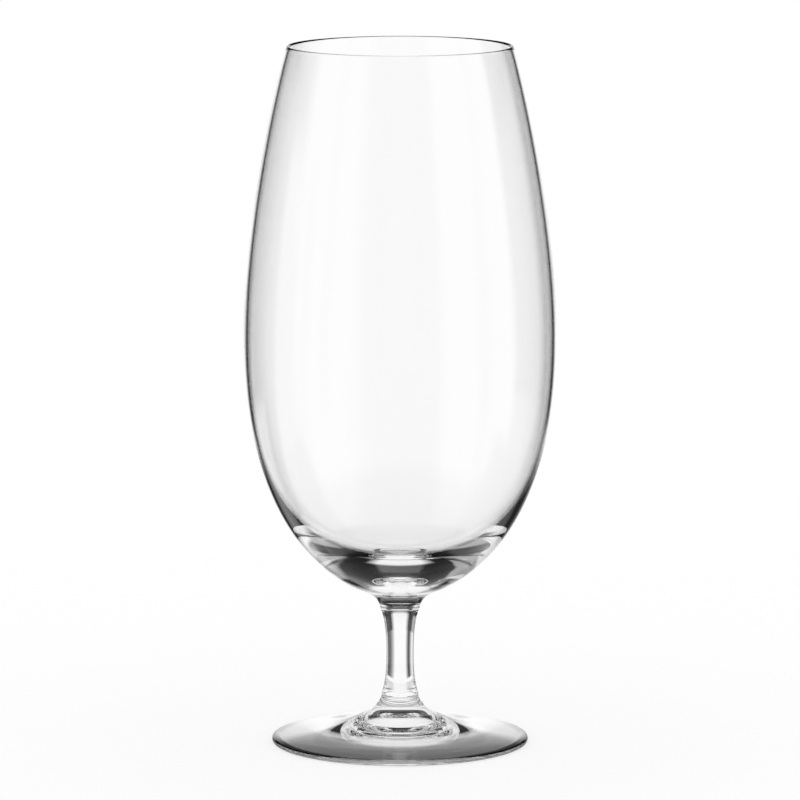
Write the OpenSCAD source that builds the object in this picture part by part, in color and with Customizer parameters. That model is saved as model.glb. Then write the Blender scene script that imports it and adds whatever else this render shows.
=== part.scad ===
// Stemmed chalice beer glass: a blown egg-shaped bowl, a short drawn stem and a pressed round foot.
// Every piece is turned about the Z axis, and each one is fused to the next on a flat round joint.
// The origin is under the middle of the foot, on the plane it stands on, with +Z up. Sizes are in mm.

/* [Bowl] */
// Height of the bowl, from its joint with the stem up to the rim
bowl_h = 156.8; // [130:0.1:190]
// Outside diameter at the widest ring
bowl_d = 86.8; // [76:0.1:104]
// Outside diameter at the rim
rim_d = 62.8; // [52:0.1:72]
// Height of the widest ring above the joint
belly_h = 75.9; // [60:0.1:95]
// Wall at the widest ring
belly_t = 1.1; // [0.8:0.05:2]
// Wall at the fire-polished rim, which is fully round
rim_t = 0.95; // [0.7:0.05:1.6]
// Lean of the wall at the rim, in degrees from upright
rim_lean = 15.8; // [6:0.1:24]
// Height of the round underside's lowest point above the joint, inside the neck
base_h = 2.6; // [1.5:0.1:6]
// Solid glass on the axis between the round underside and the inside
base_t = 8.6; // [5:0.1:13]

/* [Stem] */
// Length of the stem, from joint to joint
stem_l = 25; // [16:0.1:60]
// Diameter at the joint with the bowl
stem_top_d = 11.2; // [9:0.1:15]
// Diameter at the waist
stem_waist_d = 7.7; // [6:0.1:8.6]
// Diameter at the joint with the foot
stem_foot_d = 10.3; // [9:0.1:14]
// Height of the waist above the joint with the foot
waist_h = 11.2; // [8:0.1:14]
// Flare of the glass at the joint with the bowl, in degrees from upright
top_flare = 22; // [8:1:35]
// Flare of the glass at the joint with the foot, in degrees from upright
foot_flare = 14; // [6:1:30]
// Depth and half width of the fine groove that each fused joint leaves
seam = 0.2; // [0.1:0.05:0.4]

/* [Foot] */
// Diameter of the foot
foot_d = 71.6; // [60:0.1:86]
// Height of the foot, from the table to its joint with the stem
foot_h = 13.2; // [11:0.1:18]
// Thickness at the foot's fully round edge
foot_edge_t = 1.5; // [1.2:0.05:2.4]
// Slope of the upper face at the edge, in degrees
foot_slope = 7; // [3:0.5:9]
// Width of the flat ring that the glass stands on
ring_w = 1.6; // [0.8:0.1:4]
// Height of the hollow under the foot, at the edge of its middle dimple
hollow_h = 3.5; // [2:0.1:4.5]
// Slope of the hollow where it leaves the flat ring, in degrees
hollow_slope = 7; // [2:0.5:9]
// Diameter of the dimple in the middle of the hollow, under the stem
dimple_d = 19; // [14:0.1:24]
// Height of the dimple above the hollow
dimple_h = 3.5; // [1:0.1:4.5]
// Slope of the dimple's side at its edge, in degrees
dimple_slope = 45; // [20:1:60]

/* [Hidden] */
curve_steps = 24;
round_steps = 180;
clear_glass = [0.86, 0.93, 0.94, 0.55];

// Shares say how far a curve runs straight on from each of its ends before it bends away.
crown_share = 0.374;
lip_share = 0.16;
belly_share = 0.767;
base_share = 0.384;
floor_share = 0.56;
neck_reach_share = 0.36;
neck_rise_share = 0.18;
waist_share = 0.6;
flare_share = 0.2;
hub_share = 0.2;
edge_share = 0.53;
hollow_share = 0.4;
flat_share = 0.25;
dimple_share = 0.4;
// The neck leaves the bowl's underside at this share of the curve from the widest ring to the axis.
neck_from_share = 0.8;

foot_r = foot_d / 2;
edge_r = foot_edge_t / 2;
ring_r = foot_r - edge_r;
hollow_r = ring_r - ring_w;
dimple_r = dimple_d / 2;
stem_z = foot_h;
bowl_z = foot_h + stem_l;

// A curve is given by its two ends and the two points that they head for: [end, heading, heading, end].
function on_curve(c, t) =
    pow(1 - t, 3) * c[0]
    + 3 * pow(1 - t, 2) * t * c[1]
    + 3 * (1 - t) * pow(t, 2) * c[2]
    + pow(t, 3) * c[3];

// Direction of travel at share t of a curve, as a unit vector
function course(c, t) =
    let (v = pow(1 - t, 2) * (c[1] - c[0]) + 2 * (1 - t) * t * (c[2] - c[1]) + pow(t, 2) * (c[3] - c[2]))
    v / norm(v);

// Points along a curve, up to share last
function trace(c, last = 1) = [for (i = [0:curve_steps]) on_curve(c, last * i / curve_steps)];

// Points along a round edge about a centre, from one angle to another
function round_edge(centre, r, from, to) =
    [for (i = [0:curve_steps]) let (a = from + (to - from) * i / curve_steps) centre + r * [cos(a), sin(a)]];

function backwards(points) = [for (i = [len(points) - 1:-1:0]) points[i]];

// The curves of the bowl, in heights above its joint. The wall is an outside and an inside of the same make.
lean_out = [cos(rim_lean), sin(rim_lean)];
lean_down = [sin(rim_lean), -cos(rim_lean)];
rim_middle = [(rim_d - rim_t) / 2, bowl_h - rim_t / 2];
crown_h = bowl_h - belly_h;

function crown_curve(widest_r, rim_point) = [
    [widest_r, belly_h],
    [widest_r, belly_h + crown_share * crown_h],
    rim_point + lip_share * crown_h * lean_down,
    rim_point,
];

function belly_curve(widest_r, lowest_z, bottom_share) = [
    [widest_r, belly_h],
    [widest_r, belly_h - belly_share * (belly_h - lowest_z)],
    [bottom_share * widest_r, lowest_z],
    [0, lowest_z],
];

outer_belly = belly_curve(bowl_d / 2, base_h, base_share);
inner_belly = belly_curve(bowl_d / 2 - belly_t, base_h + base_t, floor_share);
outer_crown = crown_curve(bowl_d / 2, rim_middle + rim_t / 2 * lean_out);
inner_crown = crown_curve(bowl_d / 2 - belly_t, rim_middle - rim_t / 2 * lean_out);

neck_top = on_curve(outer_belly, neck_from_share);
neck_foot = [stem_top_d / 2, seam];
neck_curve = [
    neck_top,
    neck_top + neck_reach_share * stem_top_d * course(outer_belly, neck_from_share),
    neck_foot + neck_rise_share * stem_top_d * [sin(top_flare), cos(top_flare)],
    neck_foot,
];

// The curves of the stem, in heights above the foot's joint
waist = [stem_waist_d / 2, waist_h];
stem_top = [stem_top_d / 2, stem_l - seam];
stem_foot = [stem_foot_d / 2, seam];
upper_stem_curve = [
    waist,
    waist + waist_share * (stem_l - waist_h) * [0, 1],
    stem_top - flare_share * (stem_l - waist_h) * [sin(top_flare), cos(top_flare)],
    stem_top,
];
lower_stem_curve = [
    waist,
    waist - waist_share * waist_h * [0, 1],
    stem_foot + flare_share * waist_h * [-sin(foot_flare), cos(foot_flare)],
    stem_foot,
];

// The curves of the foot, in heights above the table
hub_top = [stem_foot_d / 2, foot_h - seam];
edge_top = [ring_r, foot_edge_t];
dimple_edge = [dimple_r, hollow_h];
upper_foot_curve = [
    hub_top,
    hub_top + hub_share * (ring_r - stem_foot_d / 2) * [sin(foot_flare), -cos(foot_flare)],
    edge_top + edge_share * (ring_r - stem_foot_d / 2) * [-cos(foot_slope), sin(foot_slope)],
    edge_top,
];
hollow_curve = [
    [hollow_r, 0],
    [hollow_r, 0] + hollow_share * hollow_r * [-cos(hollow_slope), sin(hollow_slope)],
    dimple_edge + [flat_share * (hollow_r - dimple_r), 0],
    dimple_edge,
];
dimple_curve = [
    dimple_edge,
    dimple_edge + dimple_share * dimple_r * [-cos(dimple_slope), sin(dimple_slope)],
    [dimple_share * dimple_r, hollow_h + dimple_h],
    [0, hollow_h + dimple_h],
];

module turned(outline) {
    rotate_extrude($fn = round_steps)
        polygon(outline);
}

module bowl() {
    color(clear_glass)
        translate([0, 0, bowl_z])
            turned(concat(
                [[0, 0], [stem_top_d / 2 - seam, 0]],
                backwards(trace(neck_curve)),
                backwards(trace(outer_belly, neck_from_share)),
                trace(outer_crown),
                round_edge(rim_middle, rim_t / 2, rim_lean, rim_lean + 180),
                backwards(trace(inner_crown)),
                trace(inner_belly)
            ));
}

module stem() {
    color(clear_glass)
        translate([0, 0, stem_z])
            turned(concat(
                [[0, 0], [stem_foot_d / 2 - seam, 0]],
                backwards(trace(lower_stem_curve)),
                trace(upper_stem_curve),
                [[stem_top_d / 2 - seam, stem_l], [0, stem_l]]
            ));
}

module foot() {
    color(clear_glass)
        turned(concat(
            [[0, foot_h], [stem_foot_d / 2 - seam, foot_h]],
            trace(upper_foot_curve),
            round_edge([ring_r, edge_r], edge_r, 90, -90),
            trace(hollow_curve),
            trace(dimple_curve)
        ));
}

bowl();
stem();
foot();
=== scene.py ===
import math

import bpy
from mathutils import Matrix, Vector


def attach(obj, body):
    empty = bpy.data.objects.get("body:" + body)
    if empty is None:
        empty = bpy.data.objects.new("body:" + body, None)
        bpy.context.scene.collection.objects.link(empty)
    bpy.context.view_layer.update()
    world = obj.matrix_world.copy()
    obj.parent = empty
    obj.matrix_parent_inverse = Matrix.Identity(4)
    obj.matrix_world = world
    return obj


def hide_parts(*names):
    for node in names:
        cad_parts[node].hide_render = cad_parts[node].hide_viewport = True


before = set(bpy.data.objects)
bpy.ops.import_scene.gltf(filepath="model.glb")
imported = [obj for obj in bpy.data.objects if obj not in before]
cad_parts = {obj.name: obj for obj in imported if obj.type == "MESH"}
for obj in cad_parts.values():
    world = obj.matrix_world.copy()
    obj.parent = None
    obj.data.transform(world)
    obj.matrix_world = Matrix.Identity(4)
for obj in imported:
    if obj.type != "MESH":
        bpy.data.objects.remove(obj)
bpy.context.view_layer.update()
print("frame loaded:", ", ".join(sorted(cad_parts)))

mm = 0.001
degree = math.radians(1)


def linearColour(hexColour):
    # sRGB hex to linear RGBA
    shares = [int(hexColour[i:i + 2], 16) / 255 for i in (1, 3, 5)]
    return [s / 12.92 if s <= 0.04045 else ((s + 0.055) / 1.055) ** 2.4 for s in shares] + [1]


def addNode(tree, kind, settings=None, **inputs):
    # inputs are values, or sockets to link from; "i0" stands for the socket with index 0
    node = tree.nodes.new(kind)
    for name, value in (settings or {}).items():
        setattr(node, name, value)
    for name, value in inputs.items():
        socket = node.inputs[int(name[1:])] if name[1:].isdigit() else node.inputs[name.replace("_", " ")]
        if isinstance(value, bpy.types.NodeSocket):
            tree.links.new(value, socket)
        else:
            socket.default_value = value
    return node


def newMaterial(name):
    material = bpy.data.materials.new(name)
    material.use_nodes = True
    material.node_tree.nodes.clear()
    return material


# Curves of an outline, each [end, heading, heading, end] in millimetres: (radius, height)
def onCurve(curve, t):
    weights = ((1 - t) ** 3, 3 * (1 - t) ** 2 * t, 3 * (1 - t) * t ** 2, t ** 3)
    return sum((w * p for w, p in zip(weights, curve)), Vector((0, 0)))


def course(curve, t):
    a, b, c, d = curve
    return ((1 - t) ** 2 * (b - a) + 2 * (1 - t) * t * (c - b) + t ** 2 * (d - c)).normalized()


def trace(curve, steps, last=1):
    return [onCurve(curve, last * i / steps) for i in range(steps + 1)]


def roundEdge(centre, radius, start, end, steps):
    angles = [math.radians(start + (end - start) * i / steps) for i in range(steps + 1)]
    return [centre + radius * Vector((math.cos(a), math.sin(a))) for a in angles]


turned = {"gap": 0.001, "around": 256, "sharpAngle": 40}  # mm, segments, degrees


def lathe(name, outline, baseZ, jointHeights, materials):
    # turns a closed outline about Z; its points on the axis become single vertices
    points = [outline[0]]
    for p in outline[1:]:
        if (p - points[-1]).length > turned["gap"]:
            points.append(p)
    around = turned["around"]
    verts, rings = [], []
    for p in points:
        if p.x < turned["gap"]:
            rings.append([len(verts)])
            verts.append((0, 0, (p.y + baseZ) * mm))
            continue
        rings.append(list(range(len(verts), len(verts) + around)))
        for k in range(around):
            a = 2 * math.pi * k / around
            verts.append((p.x * math.cos(a) * mm, p.x * math.sin(a) * mm, (p.y + baseZ) * mm))
    faces = []
    for lower, upper in zip(rings, rings[1:]):
        for k in range(around):
            n = (k + 1) % around
            corners = [lower[k % len(lower)], lower[n % len(lower)]]
            corners += [upper[n % len(upper)], upper[k % len(upper)]]
            faces.append(tuple(dict.fromkeys(corners)))
    mesh = bpy.data.meshes.new(name)
    mesh.from_pydata(verts, [], faces)
    mesh.validate()
    piece = bpy.data.objects.new(name, mesh)
    bpy.context.scene.collection.objects.link(piece)
    for material in materials:
        mesh.materials.append(material)
    mesh.shade_smooth()
    mesh.set_sharp_from_angle(angle=math.radians(turned["sharpAngle"]))
    for face in mesh.polygons:
        # the flat face on a joint gets the second material
        onJoint = any(abs(face.center.z - z * mm) < turned["gap"] * mm for z in jointHeights)
        face.material_index = 1 if onJoint else 0
    return piece


# Soda-lime glass, nearly without colour: the eye sees only what it bends and mirrors, and its dark edges
clearGlass = {"colour": "#fefefe", "ior": 1.52, "roughness": 0.0}


def glassMaterial(name, waveWidth, waveHeight, drawnOut):
    # fire-polished, so there is no haze, only shallow waves; drawnOut stretches them along the axis
    material = newMaterial(name)
    tree = material.node_tree
    place = addNode(tree, "ShaderNodeTexCoord").outputs["Object"]
    across = 1 / (waveWidth * mm)
    stretched = addNode(
        tree, "ShaderNodeVectorMath", {"operation": "MULTIPLY"},
        i0=place, i1=(across, across, across / drawnOut),
    )
    waves = addNode(tree, "ShaderNodeTexNoise", Vector=stretched.outputs[0], Scale=1.0, Detail=1.0)
    bump = addNode(tree, "ShaderNodeBump", Strength=1.0, Distance=waveHeight * mm, Height=waves.outputs[0])
    glass = addNode(
        tree, "ShaderNodeBsdfPrincipled",
        Base_Color=linearColour(clearGlass["colour"]),
        IOR=clearGlass["ior"],
        Roughness=clearGlass["roughness"],
        Transmission_Weight=1.0,
        Normal=bump.outputs[0],
    )
    addNode(tree, "ShaderNodeOutputMaterial", Surface=glass.outputs[0])
    return material


def blownSodaLimeGlass():
    # blown and spun: long soft waves, which only show where the wall mirrors the studio near its edges
    return glassMaterial("blownSodaLimeGlass", *bowl["waves"])


def drawnSodaLimeGlass():
    # drawn while soft: fine streaks along the stem, which break the edges of its dark lines a little
    return glassMaterial("drawnSodaLimeGlass", *stem["waves"])


def pressedSodaLimeGlass():
    # pressed and fire-polished: low chill waves from the mould, so what lies under the foot wavers
    return glassMaterial("pressedSodaLimeGlass", *foot["waves"])


def fusedGlassJoint():
    # the melt runs on through a joint, so its two touching faces show nothing
    material = newMaterial("fusedGlassJoint")
    tree = material.node_tree
    clear = addNode(tree, "ShaderNodeBsdfTransparent")
    addNode(tree, "ShaderNodeOutputMaterial", Surface=clear.outputs[0])
    return material


def leanVector(degrees):
    # a unit vector leaning out from upright by so many degrees
    return Vector((math.sin(math.radians(degrees)), math.cos(math.radians(degrees))))


def upAndIn(slope):
    # a unit vector that rises towards the axis at so many degrees
    return Vector((-math.cos(math.radians(slope)), math.sin(math.radians(slope))))


bowl = {
    "height": 156.8, "width": 86.8, "rimWidth": 62.8, "bellyHeight": 75.9, "bellyWall": 1.1, "rimWall": 0.95,
    "rimLean": 15.8, "baseHeight": 2.6, "baseWall": 8.6,
    "crownShare": 0.374, "lipShare": 0.16, "bellyShare": 0.767, "baseShare": 0.384, "floorShare": 0.56,
    "neckReachShare": 0.36, "neckRiseShare": 0.18, "neckFromShare": 0.8,
    "neckSteps": 24, "bellySteps": 64, "crownSteps": 48, "rimSteps": 16, "insideSteps": 80,
    "waves": (22, 0.012, 1),  # mm across, mm high, times longer along the axis
}


def bowlOutline():
    b = bowl
    crownHeight = b["height"] - b["bellyHeight"]
    leanOut = Vector((math.cos(math.radians(b["rimLean"])), math.sin(math.radians(b["rimLean"]))))
    leanDown = Vector((leanOut.y, -leanOut.x))
    rimMiddle = Vector(((b["rimWidth"] - b["rimWall"]) / 2, b["height"] - b["rimWall"] / 2))

    def crown(widest, rimPoint):
        return [
            Vector((widest, b["bellyHeight"])),
            Vector((widest, b["bellyHeight"] + b["crownShare"] * crownHeight)),
            rimPoint + b["lipShare"] * crownHeight * leanDown,
            rimPoint,
        ]

    def belly(widest, lowest, flatShare):
        return [
            Vector((widest, b["bellyHeight"])),
            Vector((widest, b["bellyHeight"] - b["bellyShare"] * (b["bellyHeight"] - lowest))),
            Vector((flatShare * widest, lowest)),
            Vector((0, lowest)),
        ]

    outerBelly = belly(b["width"] / 2, b["baseHeight"], b["baseShare"])
    innerLow = b["baseHeight"] + b["baseWall"]
    innerBelly = belly(b["width"] / 2 - b["bellyWall"], innerLow, b["floorShare"])
    outerCrown = crown(b["width"] / 2, rimMiddle + b["rimWall"] / 2 * leanOut)
    innerCrown = crown(b["width"] / 2 - b["bellyWall"], rimMiddle - b["rimWall"] / 2 * leanOut)
    neckTop = onCurve(outerBelly, b["neckFromShare"])
    neckFoot = Vector((stem["topWidth"] / 2, stem["seam"]))
    neck = [
        neckTop,
        neckTop + b["neckReachShare"] * stem["topWidth"] * course(outerBelly, b["neckFromShare"]),
        neckFoot + b["neckRiseShare"] * stem["topWidth"] * leanVector(stem["topFlare"]),
        neckFoot,
    ]
    return (
        [Vector((0, 0)), Vector((stem["topWidth"] / 2 - stem["seam"], 0))]
        + trace(neck, b["neckSteps"])[::-1]
        + trace(outerBelly, b["bellySteps"], b["neckFromShare"])[::-1]
        + trace(outerCrown, b["crownSteps"])
        + roundEdge(rimMiddle, b["rimWall"] / 2, b["rimLean"], b["rimLean"] + 180, b["rimSteps"])
        + trace(innerCrown, b["crownSteps"])[::-1]
        + trace(innerBelly, b["insideSteps"])
    )


stem = {
    "length": 25.0, "topWidth": 11.2, "waistWidth": 7.7, "footWidth": 10.3, "waistHeight": 11.2,
    "topFlare": 22, "footFlare": 14, "seam": 0.2, "waistShare": 0.6, "flareShare": 0.2,
    "lowerSteps": 24, "upperSteps": 32,
    "waves": (2.5, 0.0015, 8),
}


def stemOutline():
    s = stem
    waist = Vector((s["waistWidth"] / 2, s["waistHeight"]))
    top = Vector((s["topWidth"] / 2, s["length"] - s["seam"]))
    low = Vector((s["footWidth"] / 2, s["seam"]))
    upperLength = s["length"] - s["waistHeight"]
    upper = [
        waist,
        waist + Vector((0, s["waistShare"] * upperLength)),
        top - s["flareShare"] * upperLength * leanVector(s["topFlare"]),
        top,
    ]
    lower = [
        waist,
        waist - Vector((0, s["waistShare"] * s["waistHeight"])),
        low + s["flareShare"] * s["waistHeight"] * leanVector(-s["footFlare"]),
        low,
    ]
    return (
        [Vector((0, 0)), Vector((s["footWidth"] / 2 - s["seam"], 0))]
        + trace(lower, s["lowerSteps"])[::-1]
        + trace(upper, s["upperSteps"])
        + [Vector((s["topWidth"] / 2 - s["seam"], s["length"])), Vector((0, s["length"]))]
    )


foot = {
    "width": 71.6, "height": 13.2, "edge": 1.5, "slope": 7, "ring": 1.6,
    "hollow": 3.5, "hollowSlope": 7, "dimpleWidth": 19.0, "dimple": 3.5, "dimpleSlope": 45,
    "hubShare": 0.2, "edgeShare": 0.53, "hollowShare": 0.4, "flatShare": 0.25, "dimpleShare": 0.4,
    "upperSteps": 56, "edgeSteps": 16, "hollowSteps": 40, "dimpleSteps": 24,
    "waves": (9, 0.003, 1),
}


def footOutline():
    f = foot
    ringRadius = f["width"] / 2 - f["edge"] / 2
    hollowRadius = ringRadius - f["ring"]
    hubRadius = stem["footWidth"] / 2
    hubTop = Vector((hubRadius, f["height"] - stem["seam"]))
    edgeTop = Vector((ringRadius, f["edge"]))
    upper = [
        hubTop,
        hubTop - f["hubShare"] * (ringRadius - hubRadius) * leanVector(-stem["footFlare"]),
        edgeTop + f["edgeShare"] * (ringRadius - hubRadius) * upAndIn(f["slope"]),
        edgeTop,
    ]
    dimpleRadius = f["dimpleWidth"] / 2
    dimpleEdge = Vector((dimpleRadius, f["hollow"]))
    dimpleTop = f["hollow"] + f["dimple"]
    hollow = [
        Vector((hollowRadius, 0)),
        Vector((hollowRadius, 0)) + f["hollowShare"] * hollowRadius * upAndIn(f["hollowSlope"]),
        dimpleEdge + Vector((f["flatShare"] * (hollowRadius - dimpleRadius), 0)),
        dimpleEdge,
    ]
    dimple = [
        dimpleEdge,
        dimpleEdge + f["dimpleShare"] * dimpleRadius * upAndIn(f["dimpleSlope"]),
        Vector((f["dimpleShare"] * dimpleRadius, dimpleTop)),
        Vector((0, dimpleTop)),
    ]
    outline = (
        [Vector((0, f["height"])), Vector((hubRadius - stem["seam"], f["height"]))]
        + trace(upper, f["upperSteps"])
        + roundEdge(Vector((ringRadius, f["edge"] / 2)), f["edge"] / 2, 90, -90, f["edgeSteps"])
        + trace(hollow, f["hollowSteps"])
        + trace(dimple, f["dimpleSteps"])
    )
    return outline[::-1]


stemZ = foot["height"]
bowlZ = stemZ + stem["length"]
joint = fusedGlassJoint()
pieces = {
    "bowl": ("blownBowl", bowlOutline(), bowlZ, [bowlZ], "blown_glass", blownSodaLimeGlass()),
    "stem": ("drawnStem", stemOutline(), stemZ, [stemZ, bowlZ], "drawn_glass", drawnSodaLimeGlass()),
    "foot": ("pressedFoot", footOutline(), 0, [stemZ], "pressed_glass", pressedSodaLimeGlass()),
}
for node, (name, outline, baseZ, joints, slotName, material) in pieces.items():
    piece = lathe(name, outline, baseZ, joints, [material, joint])
    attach(piece, "root")
    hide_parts(node)
    print("piece made:", name, len(piece.data.polygons), "faces")

# Studio: a white sweep in a wide light tent. Only the glass sees the tent's levels of light, 1 being white.
# They go by the direction from the glass, in degrees, where 0 is straight behind it and plus is to the right.
studio = {
    "tentRadius": 1500, "tentHeight": 2200, "around": 128,  # mm, mm, panels
    "paintedLightBehind": 40,  # mm behind the axis, where the painted light under the foot has its middle
    "paintedShadowUnderFoot": [  # painted shadow under the foot, darker away from that place: levels of light at mm from it
        (0, 1.0), (31, 1.0), (35, 0.85), (40, 0.5), (45, 0.45), (51, 0.38), (56, 0.33), (60, 0.2), (66, 0.14),
        (84, 0.14),
    ],
    "paintedSpotReach": (9, 15), "footReach": (44, 52), "floorReach": (380, 520),  # mm from the axis; inside the first reach, a painted bright spot in the middle of the painted shadow
    "floor": [
        (-180, 0.75), (-150, 0.8), (-143, 1.0), (-112, 1.0), (-108, 0.85), (-104, 0.85), (-100, 1.0),
        (-79, 1.0), (-74, 0.4), (-62, 0.3), (-57, 0.9), (-45, 0.9), (-36, 0.4), (-30, 0.02),
        (-25, 0.06), (-20, 0.5), (-15, 1.0), (14, 1.0), (21, 0.5), (27, 0.25), (33, 0.07),
        (45, 0.07), (51, 0.4), (64, 0.7), (92, 1.0), (112, 1.0), (116, 0.85), (120, 0.85),
        (124, 1.0), (147, 1.0), (152, 0.75), (180, 0.75),
    ],
    "wall": [
        (-180, 0.75), (-150, 0.8), (-143, 1.0), (-112, 1.0), (-108, 0.8), (-104, 0.8), (-100, 1.0),
        (-79, 1.0), (-74, 0.4), (-41, 0.4), (-38, 0.01), (-24, 0.01), (-14, 1.0), (14, 1.0),
        (24, 0.01), (46, 0.01), (52, 0.3), (62, 0.45), (86, 0.55), (92, 1.0), (112, 1.0),
        (116, 0.8), (120, 0.8), (124, 1.0), (147, 1.0), (152, 0.75), (180, 0.75),
    ],
    "upperWall": [
        (-180, 0.75), (-150, 0.75), (-143, 1.0), (-96, 1.0), (-84, 0.2), (-60, 0.01), (-18, 0.01),
        (-14, 0.13), (14, 0.16), (18, 0.01), (60, 0.01), (84, 0.2), (92, 1.0), (148, 1.0),
        (153, 0.75), (180, 0.75),
    ],
    "wallTop": (310, 470), "roofEdge": (925, 1675), "roof": 0.0,  # mm high
    "sweepHalf": 20000, "sweepDrop": 0.1,
    "sweepColour": "#e7e7e7", "shadowColour": "#959595", "sweepGlow": 0.7,
}


def levelsAlong(tree, value, levels, unit):
    # a level of light for each place along a scale, between its first place and its last
    first, last = levels[0][0], levels[-1][0]
    share = addNode(tree, "ShaderNodeMapRange", From_Min=first * unit, From_Max=last * unit, Value=value)
    ramp = addNode(tree, "ShaderNodeValToRGB", Fac=share.outputs[0])
    elements = ramp.color_ramp.elements
    while len(elements) < len(levels):
        elements.new(0.5)
    for element, (place, level) in zip(elements, levels):
        element.position = (place - first) / (last - first)
        element.color = (level, level, level, 1)
    return ramp.outputs[0]


def goesOver(tree, value, reach, first, then):
    # one level up to the start of a reach in mm, another from its end, and a soft change between
    share = addNode(
        tree, "ShaderNodeMapRange", {"interpolation_type": "SMOOTHSTEP"},
        From_Min=reach[0] * mm, From_Max=reach[1] * mm, Value=value,
    )
    mix = addNode(tree, "ShaderNodeMix", {"data_type": "RGBA"}, i0=share.outputs[0], i6=first, i7=then)
    return mix.outputs[2]


def placeInStudio(tree):
    # where a spot of the tent or the sweep lies, seen from the foot of the glass
    place = addNode(tree, "ShaderNodeTexCoord").outputs["Object"]
    xyz = addNode(tree, "ShaderNodeSeparateXYZ", Vector=place)
    turn = addNode(tree, "ShaderNodeMath", {"operation": "ARCTAN2"}, i0=xyz.outputs[0], i1=xyz.outputs[1])
    reach = addNode(tree, "ShaderNodeVectorMath", {"operation": "LENGTH"}, i0=place)
    height, across = xyz.outputs[2], reach.outputs["Value"]
    return {"place": place, "height": height, "turn": turn.outputs[0], "reach": across}


def seenByGlass(tree):
    # 1 for light that has been mirrored or bent by a piece of glass
    path = addNode(tree, "ShaderNodeLightPath")
    return addNode(
        tree, "ShaderNodeMath", {"operation": "MAXIMUM"},
        i0=path.outputs["Is Glossy Ray"], i1=path.outputs["Is Transmission Ray"],
    ).outputs[0]


def greyLevel(level):
    return (level, level, level, 1)


def stageMesh(name, verts, faces, material):
    mesh = bpy.data.meshes.new(name)
    mesh.from_pydata(verts, [], faces)
    mesh.materials.append(material)
    thing = bpy.data.objects.new(name, mesh)
    bpy.context.scene.collection.objects.link(thing)
    return thing


def makeTent():
    # white cloth, lit from outside, with black cloth beside what lies behind: it draws the glass's dark edges
    material = newMaterial("whiteTentCloth")
    tree = material.node_tree
    spot = placeInStudio(tree)
    level = levelsAlong(tree, spot["turn"], studio["wall"], degree)
    upper = levelsAlong(tree, spot["turn"], studio["upperWall"], degree)
    level = goesOver(tree, spot["height"], studio["wallTop"], level, upper)
    level = goesOver(tree, spot["height"], studio["roofEdge"], level, greyLevel(studio["roof"]))
    glow = addNode(tree, "ShaderNodeEmission", Color=level)
    addNode(tree, "ShaderNodeOutputMaterial", Surface=glow.outputs[0])
    n = studio["around"]
    radius = studio["tentRadius"] * mm
    turns = [2 * math.pi * k / n for k in range(n)]
    ring = [(radius * math.cos(t), radius * math.sin(t)) for t in turns]
    verts = [(x, y, z * mm) for z in (-studio["sweepDrop"], studio["tentHeight"]) for x, y in ring]
    faces = [(k, (k + 1) % n, n + (k + 1) % n, n + k) for k in range(n)]
    tent = stageMesh("lightTent", verts, faces, material)
    tent.visible_camera = False
    tent.visible_diffuse = False
    tent.visible_shadow = False


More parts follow.
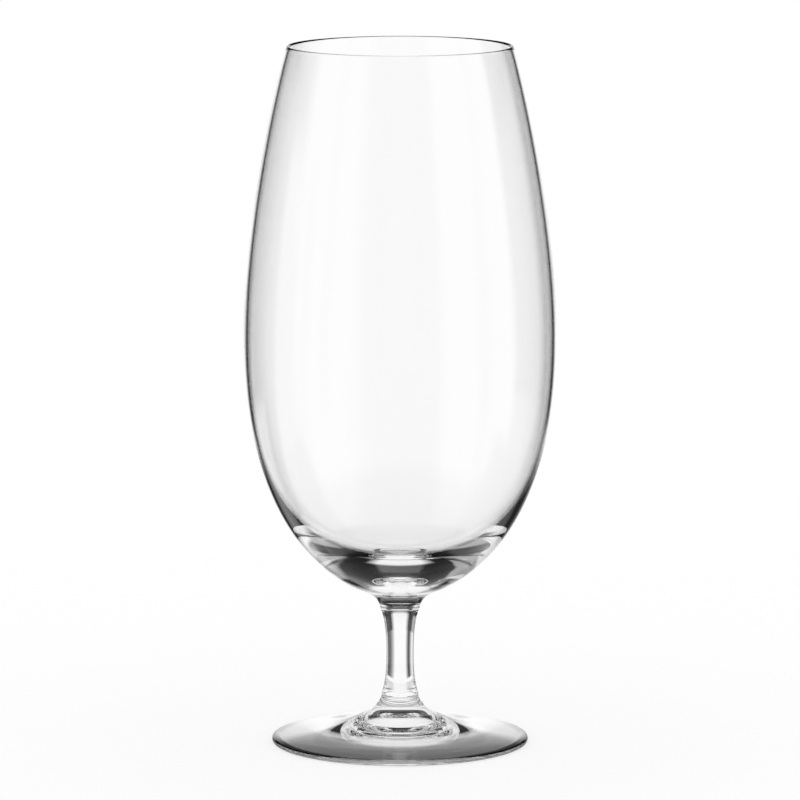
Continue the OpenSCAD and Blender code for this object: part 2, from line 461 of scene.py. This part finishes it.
def makeSweep():
    # painted white board: the camera sees it white with the glass's soft shadow on it, while the glass itself
    # sees the studio's levels of light on it, and under the foot a painted shadow with a painted bright spot
    # in its middle
    material = newMaterial("sweepBoardWithPaintedShadow")
    tree = material.node_tree
    spot = placeInStudio(tree)
    near = levelsAlong(tree, spot["turn"], studio["floor"], degree)
    wall = levelsAlong(tree, spot["turn"], studio["wall"], degree)
    # painted shadow under the foot, darker towards the front, with a painted bright spot at the axis; only
    # the glass sees it
    paintedLightMiddle = (0, studio["paintedLightBehind"] * mm, 0)
    away = addNode(tree, "ShaderNodeVectorMath", {"operation": "DISTANCE"}, i0=spot["place"], i1=paintedLightMiddle)
    paintedShadowAndSpot = levelsAlong(tree, away.outputs["Value"], studio["paintedShadowUnderFoot"], mm)
    paintedShadowAndSpot = goesOver(tree, spot["reach"], studio["paintedSpotReach"], greyLevel(1), paintedShadowAndSpot)
    level = goesOver(tree, spot["reach"], studio["floorReach"], near, wall)
    level = goesOver(tree, spot["reach"], studio["footReach"], paintedShadowAndSpot, level)
    board = addNode(tree, "ShaderNodeBsdfDiffuse", Color=linearColour(studio["sweepColour"]))
    shadowed = addNode(tree, "ShaderNodeBsdfDiffuse", Color=linearColour(studio["shadowColour"]))
    glow = addNode(tree, "ShaderNodeEmission", Strength=studio["sweepGlow"])
    white = addNode(tree, "ShaderNodeAddShader", i0=shadowed.outputs[0], i1=glow.outputs[0])
    camera = addNode(tree, "ShaderNodeLightPath").outputs["Is Camera Ray"]
    plain = addNode(tree, "ShaderNodeMixShader", i0=camera, i1=board.outputs[0], i2=white.outputs[0])
    levels = addNode(tree, "ShaderNodeEmission", Color=level)
    toGlass = seenByGlass(tree)
    mix = addNode(tree, "ShaderNodeMixShader", i0=toGlass, i1=plain.outputs[0], i2=levels.outputs[0])
    addNode(tree, "ShaderNodeOutputMaterial", Surface=mix.outputs[0])
    half, z = studio["sweepHalf"] * mm, -studio["sweepDrop"] * mm
    verts = [(-half, -half, z), (half, -half, z), (half, half, z), (-half, half, z)]
    stageMesh("sweep", verts, [(0, 1, 2, 3)], material)


def makeWorld():
    # even white light from all round, dark where the glass looks up
    world = bpy.data.worlds.new("studio")
    bpy.context.scene.world = world
    world.use_nodes = True
    tree = world.node_tree
    tree.nodes.clear()
    level = addNode(
        tree, "ShaderNodeMix", {"data_type": "RGBA"},
        i0=seenByGlass(tree), i6=greyLevel(1), i7=greyLevel(studio["roof"]),
    )
    light = addNode(tree, "ShaderNodeBackground", Color=level.outputs[2])
    addNode(tree, "ShaderNodeOutputWorld", Surface=light.outputs[0])


makeTent()
makeSweep()
makeWorld()
print("studio made")

camera = {
    "distance": 1667.4, "height": 344.45, "pitch": 8.464,  # mm, mm, degrees
    "lens": 273.0, "sensor": 36, "near": 10, "far": 100000,  # mm
}


def makeCamera():
    data = bpy.data.cameras.new("camera")
    data.lens = camera["lens"]
    data.sensor_width = camera["sensor"]
    data.clip_start = camera["near"] * mm
    data.clip_end = camera["far"] * mm
    thing = bpy.data.objects.new("camera", data)
    bpy.context.scene.collection.objects.link(thing)
    thing.location = (0, -camera["distance"] * mm, camera["height"] * mm)
    thing.rotation_euler = (math.radians(90 - camera["pitch"]), 0, 0)
    bpy.context.scene.camera = thing


makeCamera()
# enough bounces for rays that cross eight surfaces of clear glass
bounces = {"max_bounces": 24, "transmission_bounces": 24, "glossy_bounces": 12, "transparent_max_bounces": 32}
scene = bpy.context.scene
scene.view_settings.view_transform = "Standard"
for kind, count in bounces.items():
    setattr(scene.cycles, kind, count)
print("camera set")
